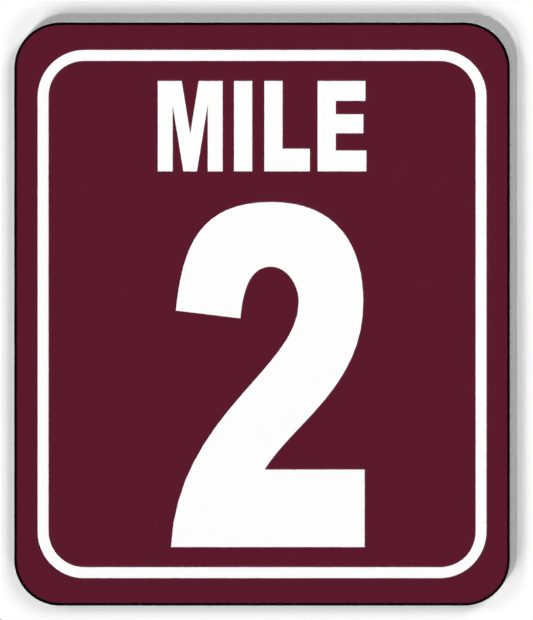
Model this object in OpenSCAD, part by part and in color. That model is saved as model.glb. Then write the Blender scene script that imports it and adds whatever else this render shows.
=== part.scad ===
// Mile marker sign: a flat aluminium road-sign panel with coloured sheeting,
// a black edge line, a white border stripe and a cut white legend.
// The panel stands upright: X runs across it, Z up it, and the face looks along -Y.
// The origin is the centre of the back face, which lies in the plane y = 0.

/* [Sign blank] */
// Width of the panel, 8.5 in
panel_w = 215.9; // [160:0.1:300]
// Height of the panel, 10 in
panel_h = 254; // [240:0.1:400]
// Thickness of the aluminium blank, 1/8 in
panel_t = 3.2; // [1.6:0.1:8]
// Radius of the panel's corners
corner_r = 20; // [8:0.5:40]
// Bevel that takes the sharp edge off the blank's face side, under the films
face_break = 0.1; // [0.05:0.05:0.5]
// Wider bevel along the blank's back edges, where the shears round the metal over
back_break = 0.3; // [0.1:0.05:0.6]

/* [Face films] */
// Thickness of the coloured sheeting on the face
sheeting_t = 0.2; // [0.1:0.05:0.6]
// Thickness of the cut film laid on the sheeting
film_t = 0.1; // [0.05:0.05:0.4]
// Width of the black line round the edge of the face
edge_line_w = 1; // [0.5:0.1:3]

/* [Border stripe] */
// Width of the white stripe
stripe_w = 4.6; // [2:0.1:8]
// Distance from the panel's sides to the stripe
stripe_side_gap = 10.3; // [5:0.1:14]
// Distance from the panel's top and bottom to the stripe
stripe_end_gap = 12.1; // [5:0.1:14]
// Radius of the stripe's outer corners
stripe_r = 20.2; // [10:0.1:40]

/* [Word] */
// Height of the letters
letter_h = 39.2; // [34:0.1:48]
// Space between the letters and the numeral below them
word_gap = 13.5; // [8:0.1:20]
// Width of the upright strokes of I, L and E
letter_stem = 7.8; // [5:0.1:9]
// Width of the M
m_w = 28.1; // [24:0.1:36]
// Width of the M's upright strokes
m_stem = 6.35; // [4:0.05:8]
// Width of the M's shoulders at the top
m_shoulder = 10.3; // [8.5:0.1:11.5]
// Depth from the top of the M to the bottom of its valley
m_valley = 23.4; // [14:0.1:30]
// Depth from the top of the M to the slits beside its uprights
m_slit_drop = 9.7; // [4:0.1:16]
// Width of the M's middle point on the baseline
m_point = 5.8; // [3:0.1:8]
// Width of the L
l_w = 19.7; // [14:0.1:26]
// Height of the L's foot
l_foot = 9.7; // [5:0.1:14]
// Width of the E at its lower arm, the longest
e_w = 21.1; // [16:0.1:28]
// Distance by which the E's upper arm stops short of the lower one
e_top_short = 0.4; // [0:0.1:3]
// Distance by which the E's middle arm stops short of the lower one
e_mid_short = 1.3; // [0:0.1:5]
// Height of the E's upper arm
e_top_arm = 8.5; // [5:0.1:10]
// Height of the E's middle arm
e_mid_arm = 8.1; // [5:0.1:10]
// Height of the E's lower arm
e_low_arm = 8.9; // [5:0.1:10]
// Height of the gap under the E's upper arm
e_top_gap = 6; // [3:0.1:9]
// Space between M and I
gap_mi = 5.1; // [3:0.1:8]
// Space between I and L
gap_il = 5.4; // [3:0.1:8]
// Space between L and E, closer because the L is open there
gap_le = 3.5; // [2:0.1:8]

/* [Numeral] */
// Height of the numeral
two_h = 150.1; // [120:0.1:165]
// Width of the numeral's foot
two_w = 84.2; // [70:0.1:100]
// Width of the numeral's stroke over the bowl and at its open end
two_stroke = 28; // [20:0.5:34]
// Height of the numeral's foot
two_foot = 33.6; // [20:0.1:44]
// Width of the diagonal where it runs into the foot
two_neck = 40.6; // [34:0.1:50]
// Distance across from the numeral's left side to the tip of its open end
two_tip_x = 2.1; // [0:0.1:6]
// Distance across from the numeral's left side to the top of its bowl
two_crown_x = 43.5; // [38:0.1:50]
// Distance by which the bowl stops short of the foot's end
two_bowl_short = 0.6; // [0:0.1:4]
// Depth from the top of the numeral to the widest place of its bowl
two_bowl_drop = 43.5; // [36:0.1:50]
// Depth from the top of the numeral to the tip of its open end
two_tip_drop = 47.1; // [40:0.1:55]
// Distance by which the inner corner of the open end lies below its tip
two_tip_fall = 3.4; // [0:0.1:8]
// Distance by which the numeral stands right of the panel's centre
two_shift = 2.5; // [-6:0.1:6]

/* [Hidden] */
// Points along each curve of the numeral
curve_steps = 16;
// Segments round a whole circle
$fn = 96;

// The films end where the flat of the face does, at its bevel
flat_w = panel_w - 2 * face_break;
flat_h = panel_h - 2 * face_break;
flat_r = corner_r - face_break;
// Heights above the back face at which the layers start
sheeting_z = panel_t;
film_z = sheeting_z + sheeting_t;
// The letters stand in one row, centred on the panel
i_x = m_w + gap_mi;
l_x = i_x + letter_stem + gap_il;
e_x = l_x + l_w + gap_le;
word_w = e_x + e_w;
word_left = -word_w / 2;
// The word and the numeral make one block, with equal margins above and below it
legend_h = two_h + word_gap + letter_h;
two_base = -legend_h / 2;
word_base = two_base + two_h + word_gap;
two_left = two_shift - two_w / 2;

aluminium = [0.66, 0.66, 0.66];
maroon = [0.36, 0.11, 0.17];
black = [0.02, 0.02, 0.02];
white = [0.98, 0.98, 0.98];

// Turns a drawing laid flat, seen from above, into one that faces along -Y
module upright() {
    rotate([90, 0, 0]) children();
}

module rounded_rect(w, h, r) {
    square([w - 2 * r, h], center = true);
    square([w, h - 2 * r], center = true);
    for (x = [-1, 1], y = [-1, 1])
        translate([x * (w / 2 - r), y * (h / 2 - r)]) circle(r);
}

// A ring of width t, whose outer edge is a rounded rectangle
module rounded_ring(w, h, r, t) {
    difference() {
        rounded_rect(w, h, r);
        rounded_rect(w - 2 * t, h - 2 * t, r - t);
    }
}

// A layer of film of thickness t that starts at height z
module layer(z, t) {
    upright() translate([0, 0, z]) linear_extrude(t) children();
}

// Section through the blank from its middle to an edge, bevelled at the back and the face
module edge_section(half) {
    polygon([[0, 0], [half - back_break, 0], [half, back_break],
             [half, panel_t - face_break], [half - face_break, panel_t], [0, panel_t]]);
}

// A bevelled slab: the edge section and its mirror image, drawn out along Y
module bevelled_bar(w, length) {
    translate([0, length / 2, 0]) rotate([90, 0, 0]) linear_extrude(length) {
        edge_section(w / 2);
        mirror([1, 0]) edge_section(w / 2);
    }
}

// Two crossed slabs and four turned discs keep every bevel a true plane or cone
module blank_plate() {
    bevelled_bar(panel_w, panel_h - 2 * corner_r);
    rotate([0, 0, 90]) bevelled_bar(panel_h, panel_w - 2 * corner_r);
    for (x = [-1, 1], y = [-1, 1])
        translate([x * (panel_w / 2 - corner_r), y * (panel_h / 2 - corner_r), 0])
            rotate_extrude() edge_section(corner_r);
}

// A point a share t along the cubic from a to d with handles b and c
function cubic(a, b, c, d, t) =
    pow(1 - t, 3) * a + 3 * pow(1 - t, 2) * t * b + 3 * (1 - t) * t * t * c + pow(t, 3) * d;

// Points from a up to, but not at, b: the curve leaves a along `leave` and comes in to b
// along `arrive`, both given as shares of the curve's own width and height
function curve(a, leave, arrive, b) =
    let (span = b - a,
         out = a + [leave.x * span.x, leave.y * span.y],
         back = b - [arrive.x * span.x, arrive.y * span.y])
    [for (i = [0:curve_steps - 1]) cubic(a, out, back, b, i / curve_steps)];

// Places along the numeral, from its lower left corner
tip = [two_tip_x, two_h - two_tip_drop];
tip_inner = tip + [two_stroke, -two_tip_fall];
crown = [two_crown_x, two_h];
crown_inner = crown - [0, two_stroke];
bowl = [two_w - two_bowl_short, two_h - two_bowl_drop];
bowl_inner = bowl - [two_stroke, 0];
neck = [two_neck, two_foot];

// The outline goes over the outside of the bowl, round the foot and back up the inside
two_outline = concat(
    curve(tip, [0.07, 0.6], [0.75, 0], crown),
    curve(crown, [0.73, 0], [0, 0.55], bowl),
    curve(bowl, [0, 0.5], [0.31, 0.29], neck),
    [neck, [two_w, two_foot], [two_w, 0]],
    curve([0, 0], [0.05, 0.54], [0, 0.27], bowl_inner),
    curve(bowl_inner, [0, 0.5], [0.57, 0], crown_inner),
    curve(crown_inner, [0.67, 0], [0.08, 0.55], tip_inner),
    [tip_inner]);

m_mid = m_w / 2;
m_slit_top = letter_h - m_slit_drop;

m_outline = [
    [0, 0], [0, letter_h], [m_shoulder, letter_h], [m_mid, letter_h - m_valley],
    [m_w - m_shoulder, letter_h], [m_w, letter_h], [m_w, 0], [m_w - m_stem, 0],
    [m_w - m_stem, m_slit_top], [m_mid + m_point / 2, 0], [m_mid - m_point / 2, 0],
    [m_stem, m_slit_top], [m_stem, 0]];

// Lays a cut film with its lower left corner at [x, y] on the sheeting
module legend(x, y) {
    color(white) layer(film_z, film_t) translate([x, y]) children();
}

module sign_blank() {
    color(aluminium) upright() blank_plate();
}

module face_sheeting() {
    color(maroon) layer(sheeting_z, sheeting_t) rounded_rect(flat_w, flat_h, flat_r);
}

module edge_line() {
    color(black) layer(film_z, film_t) rounded_ring(flat_w, flat_h, flat_r, edge_line_w);
}

module border_stripe() {
    color(white) layer(film_z, film_t)
        rounded_ring(panel_w - 2 * stripe_side_gap, panel_h - 2 * stripe_end_gap,
                     stripe_r, stripe_w);
}

module letter_m() {
    legend(word_left, word_base) polygon(m_outline);
}

module letter_i() {
    legend(word_left + i_x, word_base) square([letter_stem, letter_h]);
}

module letter_l() {
    legend(word_left + l_x, word_base) {
        square([letter_stem, letter_h]);
        square([l_w, l_foot]);
    }
}

module letter_e() {
    legend(word_left + e_x, word_base) {
        square([letter_stem, letter_h]);
        square([e_w, e_low_arm]);
        translate([0, letter_h - e_top_arm]) square([e_w - e_top_short, e_top_arm]);
        translate([0, letter_h - e_top_arm - e_top_gap - e_mid_arm])
            square([e_w - e_mid_short, e_mid_arm]);
    }
}

module numeral_two() {
    legend(two_left, two_base) polygon(two_outline);
}

sign_blank();
face_sheeting();
edge_line();
border_stripe();
letter_m();
letter_i();
letter_l();
letter_e();
numeral_two();
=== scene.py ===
# %% [markdown]
# # Mile marker sign: finish, light and camera
#
# The sign is a flat aluminium blank with four kinds of surface: bare metal, maroon sheeting, a
# black line and cut white film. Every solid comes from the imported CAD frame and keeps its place.
# This notebook gives each one its finish, sets up a plain studio and stands the camera where
# the picture was taken from. Lengths are in metres, X runs across the sign, Z up it, and the
# face looks along -Y.

# %% Load the frame
import math

import bpy
from mathutils import Matrix, Vector


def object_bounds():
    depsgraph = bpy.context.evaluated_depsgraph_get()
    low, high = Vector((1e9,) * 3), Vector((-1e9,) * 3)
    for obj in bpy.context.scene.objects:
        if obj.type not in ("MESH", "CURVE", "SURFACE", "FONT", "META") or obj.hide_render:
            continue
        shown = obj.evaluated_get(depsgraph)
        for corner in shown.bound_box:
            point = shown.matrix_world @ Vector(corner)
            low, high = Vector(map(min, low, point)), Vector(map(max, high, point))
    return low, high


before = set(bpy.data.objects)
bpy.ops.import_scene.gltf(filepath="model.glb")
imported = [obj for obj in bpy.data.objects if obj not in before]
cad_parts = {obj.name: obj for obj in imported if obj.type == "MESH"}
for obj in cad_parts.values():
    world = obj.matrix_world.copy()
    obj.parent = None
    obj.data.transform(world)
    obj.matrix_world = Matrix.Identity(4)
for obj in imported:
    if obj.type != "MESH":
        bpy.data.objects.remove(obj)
cad_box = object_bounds()
low, high = (Vector(corner) for corner in cad_box)
scene = bpy.context.scene
scene.view_settings.view_transform = "Standard"
print("pieces:", ", ".join(sorted(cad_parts)))
print("box in mm:", [round(1000 * side, 2) for side in high - low])

# %% [markdown]
# ## Camera
#
# The picture shows the face square on, with right angles at every corner, and yet the top and
# the right-hand sides are in view. A drawing like that is an oblique projection: each point
# behind the face slides up and to the right by a fixed share of its depth. A camera with a
# shifted lens can do it, but a shift this large would stay on for every other view. Here the
# camera stands far off with a long lens instead, and an empty that carries it slants its
# line of sight. Another view that puts the camera elsewhere then starts from a plain camera.

# %% Picture scale and slant
PICTURE_H = 620                     # pixels
MM = 0.001
PIXEL = 0.4354 * MM                 # one pixel of the picture on the sign's face
SLANT_X, SLANT_Z = 1.015, 1.289     # how far the sides slide right and up for each unit of depth
FACE_CENTRE_PX = (261.95, 314.19)   # the face's centre in the picture
PICTURE_CENTRE_PX = (266.5, 310.0)
CAMERA_DEPTH = 3.0                  # from the face, straight out

aim = Vector(((PICTURE_CENTRE_PX[0] - FACE_CENTRE_PX[0]) * PIXEL, low.y,
              (FACE_CENTRE_PX[1] - PICTURE_CENTRE_PX[1]) * PIXEL))
sight = Vector((SLANT_X, -1, SLANT_Z))      # from the face to the camera
stand = aim + sight * CAMERA_DEPTH
print("camera stands at", [round(v, 2) for v in stand])

# %% Camera on its slanted carrier
lens = bpy.data.cameras.new("picture_lens")
lens.lens = lens.sensor_width * CAMERA_DEPTH * sight.length / (PICTURE_H * PIXEL)
camera = bpy.data.objects.new("picture_camera", lens)
carrier = bpy.data.objects.new("camera_carrier", None)
for item in (camera, carrier):
    scene.collection.objects.link(item)
camera.parent = carrier
camera.matrix_parent_inverse = Matrix(((1, 0, sight.x, stand.x),
                                       (0, 0, sight.y, stand.y),
                                       (0, 1, sight.z, stand.z),
                                       (0, 0, 0, 1)))
scene.camera = camera
print("lens:", round(lens.lens), "mm")

# %% [markdown]
# ## Writing materials as sums
#
# A finish is a small sum: this colour, a little lighter where the grain is high, rougher where
# the metal was torn. Placing and linking each node by hand would hide that sum. So the class
# below wraps a socket, and each Python operator on it adds the Math node that does the same.
# `Finish` holds one node tree, and adds any other node by its type, its settings and its
# sockets. Settings go first, because some of them decide which sockets the node has.

# %% Arithmetic on sockets
class Value:
    """A number that varies over a surface, or from ray to ray."""

    def __init__(self, finish, socket):
        self.finish, self.socket = finish, socket

    def maths(self, operation, *numbers):
        made = self.finish.add("ShaderNodeMath", {"operation": operation},
                               dict(enumerate(numbers)))
        return Value(self.finish, made.outputs[0])

    def __add__(self, other):
        return self.maths("ADD", self, other)

    def __sub__(self, other):
        return self.maths("SUBTRACT", self, other)

    def __rsub__(self, other):
        return self.maths("SUBTRACT", other, self)

    def __mul__(self, other):
        return self.maths("MULTIPLY", self, other)

    def __abs__(self):
        return self.maths("ABSOLUTE", self)

    __radd__, __rmul__ = __add__, __mul__

    def step(self, start, end):
        """0 up to `start`, 1 from `end` on, and a smooth rise between."""
        made = self.finish.add("ShaderNodeMapRange", {"interpolation_type": "SMOOTHSTEP"},
                               {"Value": self, "From Min": start, "From Max": end})
        return Value(self.finish, made.outputs[0])


# %% A node tree that is written as text
class Finish:
    """A node tree, to which nodes are added by type, settings and sockets."""

    def __init__(self, tree):
        self.tree = tree

    def add(self, kind, settings=None, sockets=None):
        made = self.tree.nodes.new(kind)
        for name, setting in (settings or {}).items():
            setattr(made, name, setting)
        for name, given in (sockets or {}).items():
            self.feed(made.inputs[name], given)
        return made

    def feed(self, socket, given):
        """Links a varying value or a socket, or sets a plain number, colour or vector."""
        given = given.socket if isinstance(given, Value) else given
        if isinstance(given, bpy.types.NodeSocket):
            self.tree.links.new(given, socket)
        else:
            socket.default_value = given

    def place(self):
        """Where a point lies on its own piece, in metres."""
        return self.add("ShaderNodeTexCoord").outputs["Object"]

    def noise(self, size, stretch=(1, 1, 1), detail=2.0):
        """Noise from 0 to 1 whose lumps are about `size` metres, longer where `stretch` is."""
        scaled = self.add("ShaderNodeVectorMath", {"operation": "MULTIPLY"},
                          {0: self.place(), 1: [1 / (size * s) for s in stretch]}).outputs[0]
        return Value(self, self.add("ShaderNodeTexNoise", None,
                                    {"Vector": scaled, "Scale": 1.0, "Detail": detail}).outputs[0])

    def along(self, vector, direction):
        """How far a vector of length 1 goes along `direction`, from -1 to 1."""
        return Value(self, self.add("ShaderNodeVectorMath", {"operation": "DOT_PRODUCT"},
                                    {0: vector, 1: direction}).outputs["Value"])

    def facing(self, direction):
        """How far the surface looks along `direction`, from -1 to 1."""
        return self.along(self.add("ShaderNodeNewGeometry").outputs["Normal"], direction)

    def mix(self, factor, a, b):
        """Colour a where factor is 0, colour b where it is 1."""
        # The Mix node keeps its colour sockets at 6 and 7, after those for numbers and vectors
        return self.add("ShaderNodeMix", {"data_type": "RGBA"},
                        {"Factor": factor, 6: a, 7: b}).outputs[2]

    def shade(self, colour, amount):
        """The colour multiplied by a number that varies."""
        return self.add("ShaderNodeVectorMath", {"operation": "SCALE"},
                        {0: colour, "Scale": amount}).outputs[0]

    def bump(self, height, depth):
        """A normal map from a height of 0 to 1 that stands for `depth` metres."""
        return self.add("ShaderNodeBump", None,
                        {"Height": height, "Distance": depth, "Strength": 1.0}).outputs[0]


# %% [markdown]
# Every material here starts with the Principled shader. Numbers that are the same all over go
# straight on its sockets, where an export can read them. Only what changes over the surface is
# linked: the colour, the roughness, the metal share and the fine relief.

# %% Start of a material
def new_finish(name, **constants):
    """A material, its node tree, and its Principled shader with the constants set."""
    material = bpy.data.materials.new(name)
    material.use_nodes = True
    shader = material.node_tree.nodes["Principled BSDF"]
    finish = Finish(material.node_tree)
    drive(finish, shader, **constants)
    return material, finish, shader


def drive(finish, shader, **sockets):
    """Feeds the shader's sockets by name, with _ in place of each space."""
    for name, given in sockets.items():
        finish.feed(shader.inputs[name.replace("_", " ")], given)


# %% [markdown]
# ## Wall and floor
#
# Nothing in the picture carries the sign, but a soft halo lies round it on white, closest where
# the sides meet the ground behind. So it hangs flat on a white wall by its back. The wall can be
# seen from the front alone, because a wall that hid the back would be in the way of every view
# from behind. The pale floor lies a little under the sign's lower edge, out of the picture.
# Both are there for the camera and take the sign's shadow, but throw no light back on it.
# Further out they glow the same plain white as the world behind them, so no far edge shows.

# %% Paint for the wall and the floor
FADE_FROM, FADE_TO = 0.25, 0.70     # distance from the sign over which shading turns to white


def backdrop_paint(name, colour):
    """Matt paint near the sign and plain white further out, with nothing on its back."""
    paint, f, shader = new_finish(name, Base_Color=(*colour, 1), Roughness=1.0,
                                  Specular_IOR_Level=0.0)
    far = Value(f, f.add("ShaderNodeVectorMath", {"operation": "LENGTH"},
                         {0: f.place()}).outputs["Value"]).step(FADE_FROM, FADE_TO)
    glow = f.add("ShaderNodeEmission", None, {"Strength": 1.0}).outputs[0]
    front = f.add("ShaderNodeMixShader", None, {0: far, 1: shader.outputs[0], 2: glow})
    clear = f.add("ShaderNodeBsdfTransparent").outputs[0]
    behind = f.add("ShaderNodeNewGeometry").outputs["Backfacing"]
    sided = f.add("ShaderNodeMixShader", None, {0: behind, 1: front.outputs[0], 2: clear})
    f.feed(f.tree.nodes["Material Output"].inputs["Surface"], sided.outputs[0])
    return paint


# %% A sheet of the studio
def stage_sheet(name, points, faces, material):
    """A flat sheet of the studio, which is no part of the sign and throws no light on it."""
    mesh = bpy.data.meshes.new(name)
    mesh.from_pydata(points, [], faces)
    mesh.materials.append(material)
    sheet = bpy.data.objects.new(name, mesh)
    scene.collection.objects.link(sheet)
    sheet.visible_diffuse = sheet.visible_glossy = sheet.visible_transmission = False
    return sheet


# %% Wall and floor
WALL_GAP = 0.02 * MM    # between the sign's back and the wall, so that their surfaces don't mix
FLOOR_Z = -0.15
REACH = 4.0             # of both sheets, out from the sign

backdrops = (
    stage_sheet("wall", [(-REACH, WALL_GAP, FLOOR_Z), (REACH, WALL_GAP, FLOOR_Z),
                         (REACH, WALL_GAP, REACH), (-REACH, WALL_GAP, REACH)],
                [(0, 1, 2, 3)], backdrop_paint("wall_paint", (0.98, 0.98, 0.98))),
    stage_sheet("floor", [(-REACH, -REACH, FLOOR_Z), (REACH, -REACH, FLOOR_Z),
                          (REACH, REACH, FLOOR_Z), (-REACH, REACH, FLOOR_Z)],
                [(0, 1, 2, 3)], backdrop_paint("floor_paint", (0.80, 0.80, 0.79))))
for sheet in backdrops:
    sheet.visible_shadow = False
print("floor lies", round((low.z - FLOOR_Z) / MM), "mm under the sign")

# %% [markdown]
# ## Light
#
# Flat signs are lit for a camera as drawings on a copy stand are: with soft lamps at the four
# corners, so that no side of the sheet is darker than another. Each lamp throws a short, soft
# shadow of the 3.5 mm thick sign to the far corner, and together these make the even halo. Its
# width says where the lamps stand: low and far out at the top and on the right, where the halo
# opposite reaches 10 mm, and steeper at the bottom and on the left. The shares of the light add
# up to about 1, so a colour renders much as it is written. A rear lamp does the same for the
# back.
#
# The two lower lamps stand where the face mirrors a camera that looks down on it, from the
# right or from the left. Their gloss would wash the colours out, so they give plain light only.
# Part of the gloss would come back with multiple importance sampling, so that is off for them.
# It is off for the rear lamp too, because a mirrored ray goes through the wall and would find
# that lamp where no light falls.

# %% A softbox
LAMP_DISTANCE = 6.0


def softbox(name, direction, half_size, share):
    """A square lamp that gives the panel this share of full light on the side it stands at."""
    toward = Vector(direction).normalized()
    light = bpy.data.lights.new(name, "AREA")
    light.size = 2 * half_size * LAMP_DISTANCE
    corner_loss = (1 + half_size ** 2 * 2 / 3) ** 2     # a wide lamp's corners are further off
    light.energy = share * (math.pi * LAMP_DISTANCE) ** 2 / abs(toward.y) * corner_loss
    lamp = bpy.data.objects.new(name, light)
    lamp.location = toward * LAMP_DISTANCE
    lamp.rotation_euler = toward.to_track_quat("Z", "Y").to_euler()
    lamp.visible_camera = False
    scene.collection.objects.link(lamp)
    return lamp


# %% Softboxes
SOFTBOXES = {                 # direction from the sign, half size at 1 m, share of the light
    "upper_right": ((2.22, -1, 2.40), 0.10, 0.275),
    "lower_left": ((-1.09, -1, -1.07), 0.42, 0.367),
    "upper_left": ((-1.23, -1, 2.07), 0.12, 0.143),
    "lower_right": ((2.23, -1, -1.20), 0.12, 0.155),
    "rear": ((0.0, 1, 0.8), 0.40, 0.45),
}
WORLD_SHARE = 0.10            # what the surroundings add

lamps = {name: softbox(name, *numbers) for name, numbers in SOFTBOXES.items()}
for name in ("lower_left", "lower_right"):
    lamps[name].visible_glossy = False
for name in ("lower_left", "lower_right", "rear"):
    lamps[name].data.cycles.use_multiple_importance_sampling = False
print("light on the face:", round(WORLD_SHARE + sum(
    share for direction, _, share in SOFTBOXES.values() if direction[1] < 0), 3))

# %% [markdown]
# ## Collar behind the sign
#
# On a real wall the rear lamp would light nothing but the wall. This wall lets light through
# from behind, so the rear lamp would shine on the sides and on the dark line of contact where
# they meet the wall. A narrow ring lies round the back's edge, between the sign and the wall.
# Nothing sees it, and it does one thing: it stops the rear lamp's light.

# %% A rounded outline
CORNER_STEPS = 12


def rounded_outline(half_w, half_h, radius, y):
    """Points round an upright rounded rectangle, from its right side on."""
    points = []
    for corner, (sx, sz) in enumerate(((1, 1), (-1, 1), (-1, -1), (1, -1))):
        for i in range(CORNER_STEPS + 1):
            angle = math.radians(90 * (corner + i / CORNER_STEPS))
            points.append((sx * (half_w - radius) + radius * math.cos(angle), y,
                           sz * (half_h - radius) + radius * math.sin(angle)))
    return points


# %% Collar
COLLAR_W = 8 * MM
CORNER_R, BACK_BEVEL = 20 * MM, 0.3 * MM    # the blank's own

inner, outer = (rounded_outline(high.x + out, high.z + out, CORNER_R + out, 1.5 * WALL_GAP)
                for out in (-BACK_BEVEL, COLLAR_W - BACK_BEVEL))
count = len(inner)
collar = stage_sheet("collar", inner + outer,
                     [(i, (i + 1) % count, count + (i + 1) % count, count + i)
                      for i in range(count)], new_finish("collar_card", Roughness=1.0)[0])
collar.visible_camera = False
print("collar:", count, "faces,", round(COLLAR_W / MM), "mm wide")

# %% [markdown]
# ## White surroundings and a black card
#
# The world is white wherever the camera or a shiny surface looks, and gives the sign only the
# small rest of its light. A camera that looks down on the satin face finds there the mirror
# image of what lies low in front, and white would turn the maroon pink and the black line grey.
# A photographer lays a black card in that place. Here the world is dark there, for reflections,
# and far enough to both sides for views from the left and the right. The card ends at the wall:
# the bare sides mirror what lies behind it, and stay bright. A ray that has already met a matt
# surface sees the plain share, so no gloss lights the wall.

# %% World
CARD_CENTRE = Vector((0, -1, -1.3)).normalized()
CARD_RIM, CARD_EDGE = 0.00, 0.50    # cosines round its centre, where its soft edge starts and ends
CARD_BACK, CARD_FRONT = -0.35, 0.0  # cosines from straight out, for its edge along the wall

world = bpy.data.worlds.new("studio")
world.use_nodes = True
scene.world = world
studio = Finish(world.node_tree)
rays = studio.add("ShaderNodeLightPath").outputs
camera_ray, glossy_ray, clear_ray = (
    Value(studio, rays[f"Is {kind} Ray"]) for kind in ("Camera", "Glossy", "Transmission"))
first_hand = 1 - Value(studio, rays["Diffuse Depth"]).step(0, 1)
looking = studio.add("ShaderNodeTexCoord").outputs["Generated"]
card = (studio.along(looking, CARD_CENTRE).step(CARD_RIM, CARD_EDGE)
        * studio.along(looking, (0, -1, 0)).step(CARD_BACK, CARD_FRONT))
strength = (WORLD_SHARE + (camera_ray + clear_ray) * (1 - WORLD_SHARE)
            + glossy_ray * first_hand * (1 - WORLD_SHARE - card))
background = world.node_tree.nodes["Background"]
drive(studio, background, Color=(1, 1, 1, 1), Strength=strength)
print("world nodes:", len(world.node_tree.nodes))

# %% [markdown]
# ## Maroon sheeting
#
# Sign sheeting is a clear, tinted plastic skin over a layer of very small glass beads, stuck to
# the blank. From a step away it is one even colour. From close by it shows the grain of the
# beads, a slight clouding of the tint over a few centimetres and a faint orange-peel wave in
# the skin, which breaks up the gloss. These three come from noise at those sizes. Where the
# sheeting was cut, its silvered backing shows, and the cut is told by which way it faces.

# %% Maroon sheeting
BEAD, PEEL, CLOUD = 0.20 * MM, 2.2 * MM, 22 * MM
MAROON = (0.1050, 0.0099, 0.0243)
SILVERED = (0.40, 0.40, 0.40, 1)

maroon, f, shader = new_finish("maroon_sheeting", Specular_IOR_Level=0.25)
beads, peel, cloud = f.noise(BEAD), f.noise(PEEL, detail=1.0), f.noise(CLOUD, detail=3.0)
toned = f.shade(MAROON, 1 + (beads - 0.5) * 0.50 + (cloud - 0.5) * 0.06)
cut_edge = 1 - abs(f.facing((0, -1, 0))).step(0.3, 0.7)
drive(f, shader,
      Base_Color=f.mix(cut_edge, toned, SILVERED),
      Roughness=0.36 + (cloud - 0.5) * 0.10 + (beads - 0.5) * 0.20,
      Normal=f.bump(peel * 0.7 + beads * 0.3, 0.020 * MM))
print(maroon.name, "nodes:", len(f.tree.nodes))

# %% [markdown]
# ## Cut films
#
# The legend and the stripe are cut from smooth white film, the line is black film. Film has no
# beads, so it is smoother than sheeting, and it lies in the faint waves of what it covers. One
# function makes both, since they differ in colour, clouding and gloss alone. The black is duller
# and clouds more, as a thin dark film shows dust and rubbing that white hides.

# %% Cut films
FILM_GRAIN = 0.12 * MM


def film(name, colour, clouding, gloss):
    """Smooth film of a colour, with its share of clouding and its gloss."""
    made, f, shader = new_finish(name, Specular_IOR_Level=gloss)
    wave, grain, cloud = f.noise(PEEL, detail=1.0), f.noise(FILM_GRAIN), f.noise(CLOUD, detail=3.0)
    drive(f, shader,
          Base_Color=f.shade(colour, 1 + (cloud - 0.5) * clouding + (grain - 0.5) * clouding),
          Roughness=0.30 + (cloud - 0.5) * 0.10 + (grain - 0.5) * 0.08,
          Normal=f.bump(wave * 0.8 + grain * 0.2, 0.010 * MM))
    print(made.name, "nodes:", len(f.tree.nodes))
    return made


white = film("cut_white_film", (0.985, 0.985, 0.983), 0.02, 0.20)
black = film("cut_black_film", (0.0012, 0.0012, 0.0013), 0.30, 0.10)

# %% [markdown]
# ## Aluminium blank
#
# The blank is sheared from rolled sheet. Its back keeps the mill finish: long fine lines in the
# direction of rolling, a soft cloudiness, and a few hair scratches from handling. Its sides are
# duller, because the shears tear the metal: a band by the face was cut clean and rubbed
# smooth, and the rest broke away with short marks across the thickness. That smooth band is
# also painted a little lighter, as a painted highlight. One material does both, and tells them
# apart by which way the surface faces. Noise that is stretched along Z makes the rolled lines,
# and noise that is stretched along Y the torn marks.

# %% Patterns in the metal
metal, f, shader = new_finish("bare_aluminium")
flat = abs(f.facing((0, 1, 0))).step(0.85, 0.98)
rolling = f.noise(0.16 * MM, stretch=(1, 1, 150), detail=3.0)
bands = f.noise(3.0 * MM, stretch=(1, 1, 40), detail=2.0)
clouds = f.noise(30 * MM, detail=4.0)
scratch = f.noise(0.5 * MM, stretch=(1, 1, 90), detail=0.0).step(0.70, 0.78)
torn = f.noise(0.20 * MM, stretch=(1, 14, 1), detail=2.0)
depth = Value(f, f.add("ShaderNodeSeparateXYZ", None, {0: f.place()}).outputs["Y"])
# the band by the face: really smoother, and below also painted lighter as a painted highlight
burnished_and_highlight = 1 - depth.step(-2.5 * MM, -1.9 * MM)
print("pattern nodes:", len(f.tree.nodes))

# %% Aluminium blank
BACK_GREY, SIDE_GREY = 0.50, 0.333

back_tone = BACK_GREY * (1 + (rolling - 0.5) * 0.34 + (bands - 0.5) * 0.12
                         + (clouds - 0.5) * 0.05 + scratch * 0.10)
# the band by the face is painted 3 % lighter here: a painted highlight
side_tone = SIDE_GREY * (1 + (torn - 0.5) * 0.22 + (clouds - 0.5) * 0.06 + burnished_and_highlight * 0.03)
tone = side_tone + flat * (back_tone - side_tone)
back_rough = 0.40 + (rolling - 0.5) * 0.20 + (clouds - 0.5) * 0.12 - scratch * 0.10
side_rough = 0.33 + (torn - 0.5) * 0.20 - burnished_and_highlight * 0.06
drive(f, shader,
      Base_Color=f.shade((1, 1, 1), tone),
      Metallic=0.50 + flat * 0.35,
      Roughness=side_rough + flat * (back_rough - side_rough),
      Normal=f.bump(flat * (rolling * 0.8 + scratch * 0.2) + (1 - flat) * torn, 0.006 * MM))
print(metal.name, "nodes:", len(f.tree.nodes))

# %% [markdown]
# ## Dressing the solids
#
# Each CAD solid keeps its own mesh, and only the material in its slot changes. The blank, the
# sheeting and the line have one each, and everything else on the face is white film.

# %% Each piece gets its finish
FINISH_OF = {"sign_blank": metal, "face_sheeting": maroon, "edge_line": black}
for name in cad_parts:
    piece = bpy.data.objects[name]
    for slot in piece.material_slots:
        slot.material = FINISH_OF.get(name, white)
    print(f"{name}: {piece.material_slots[0].material.name}")
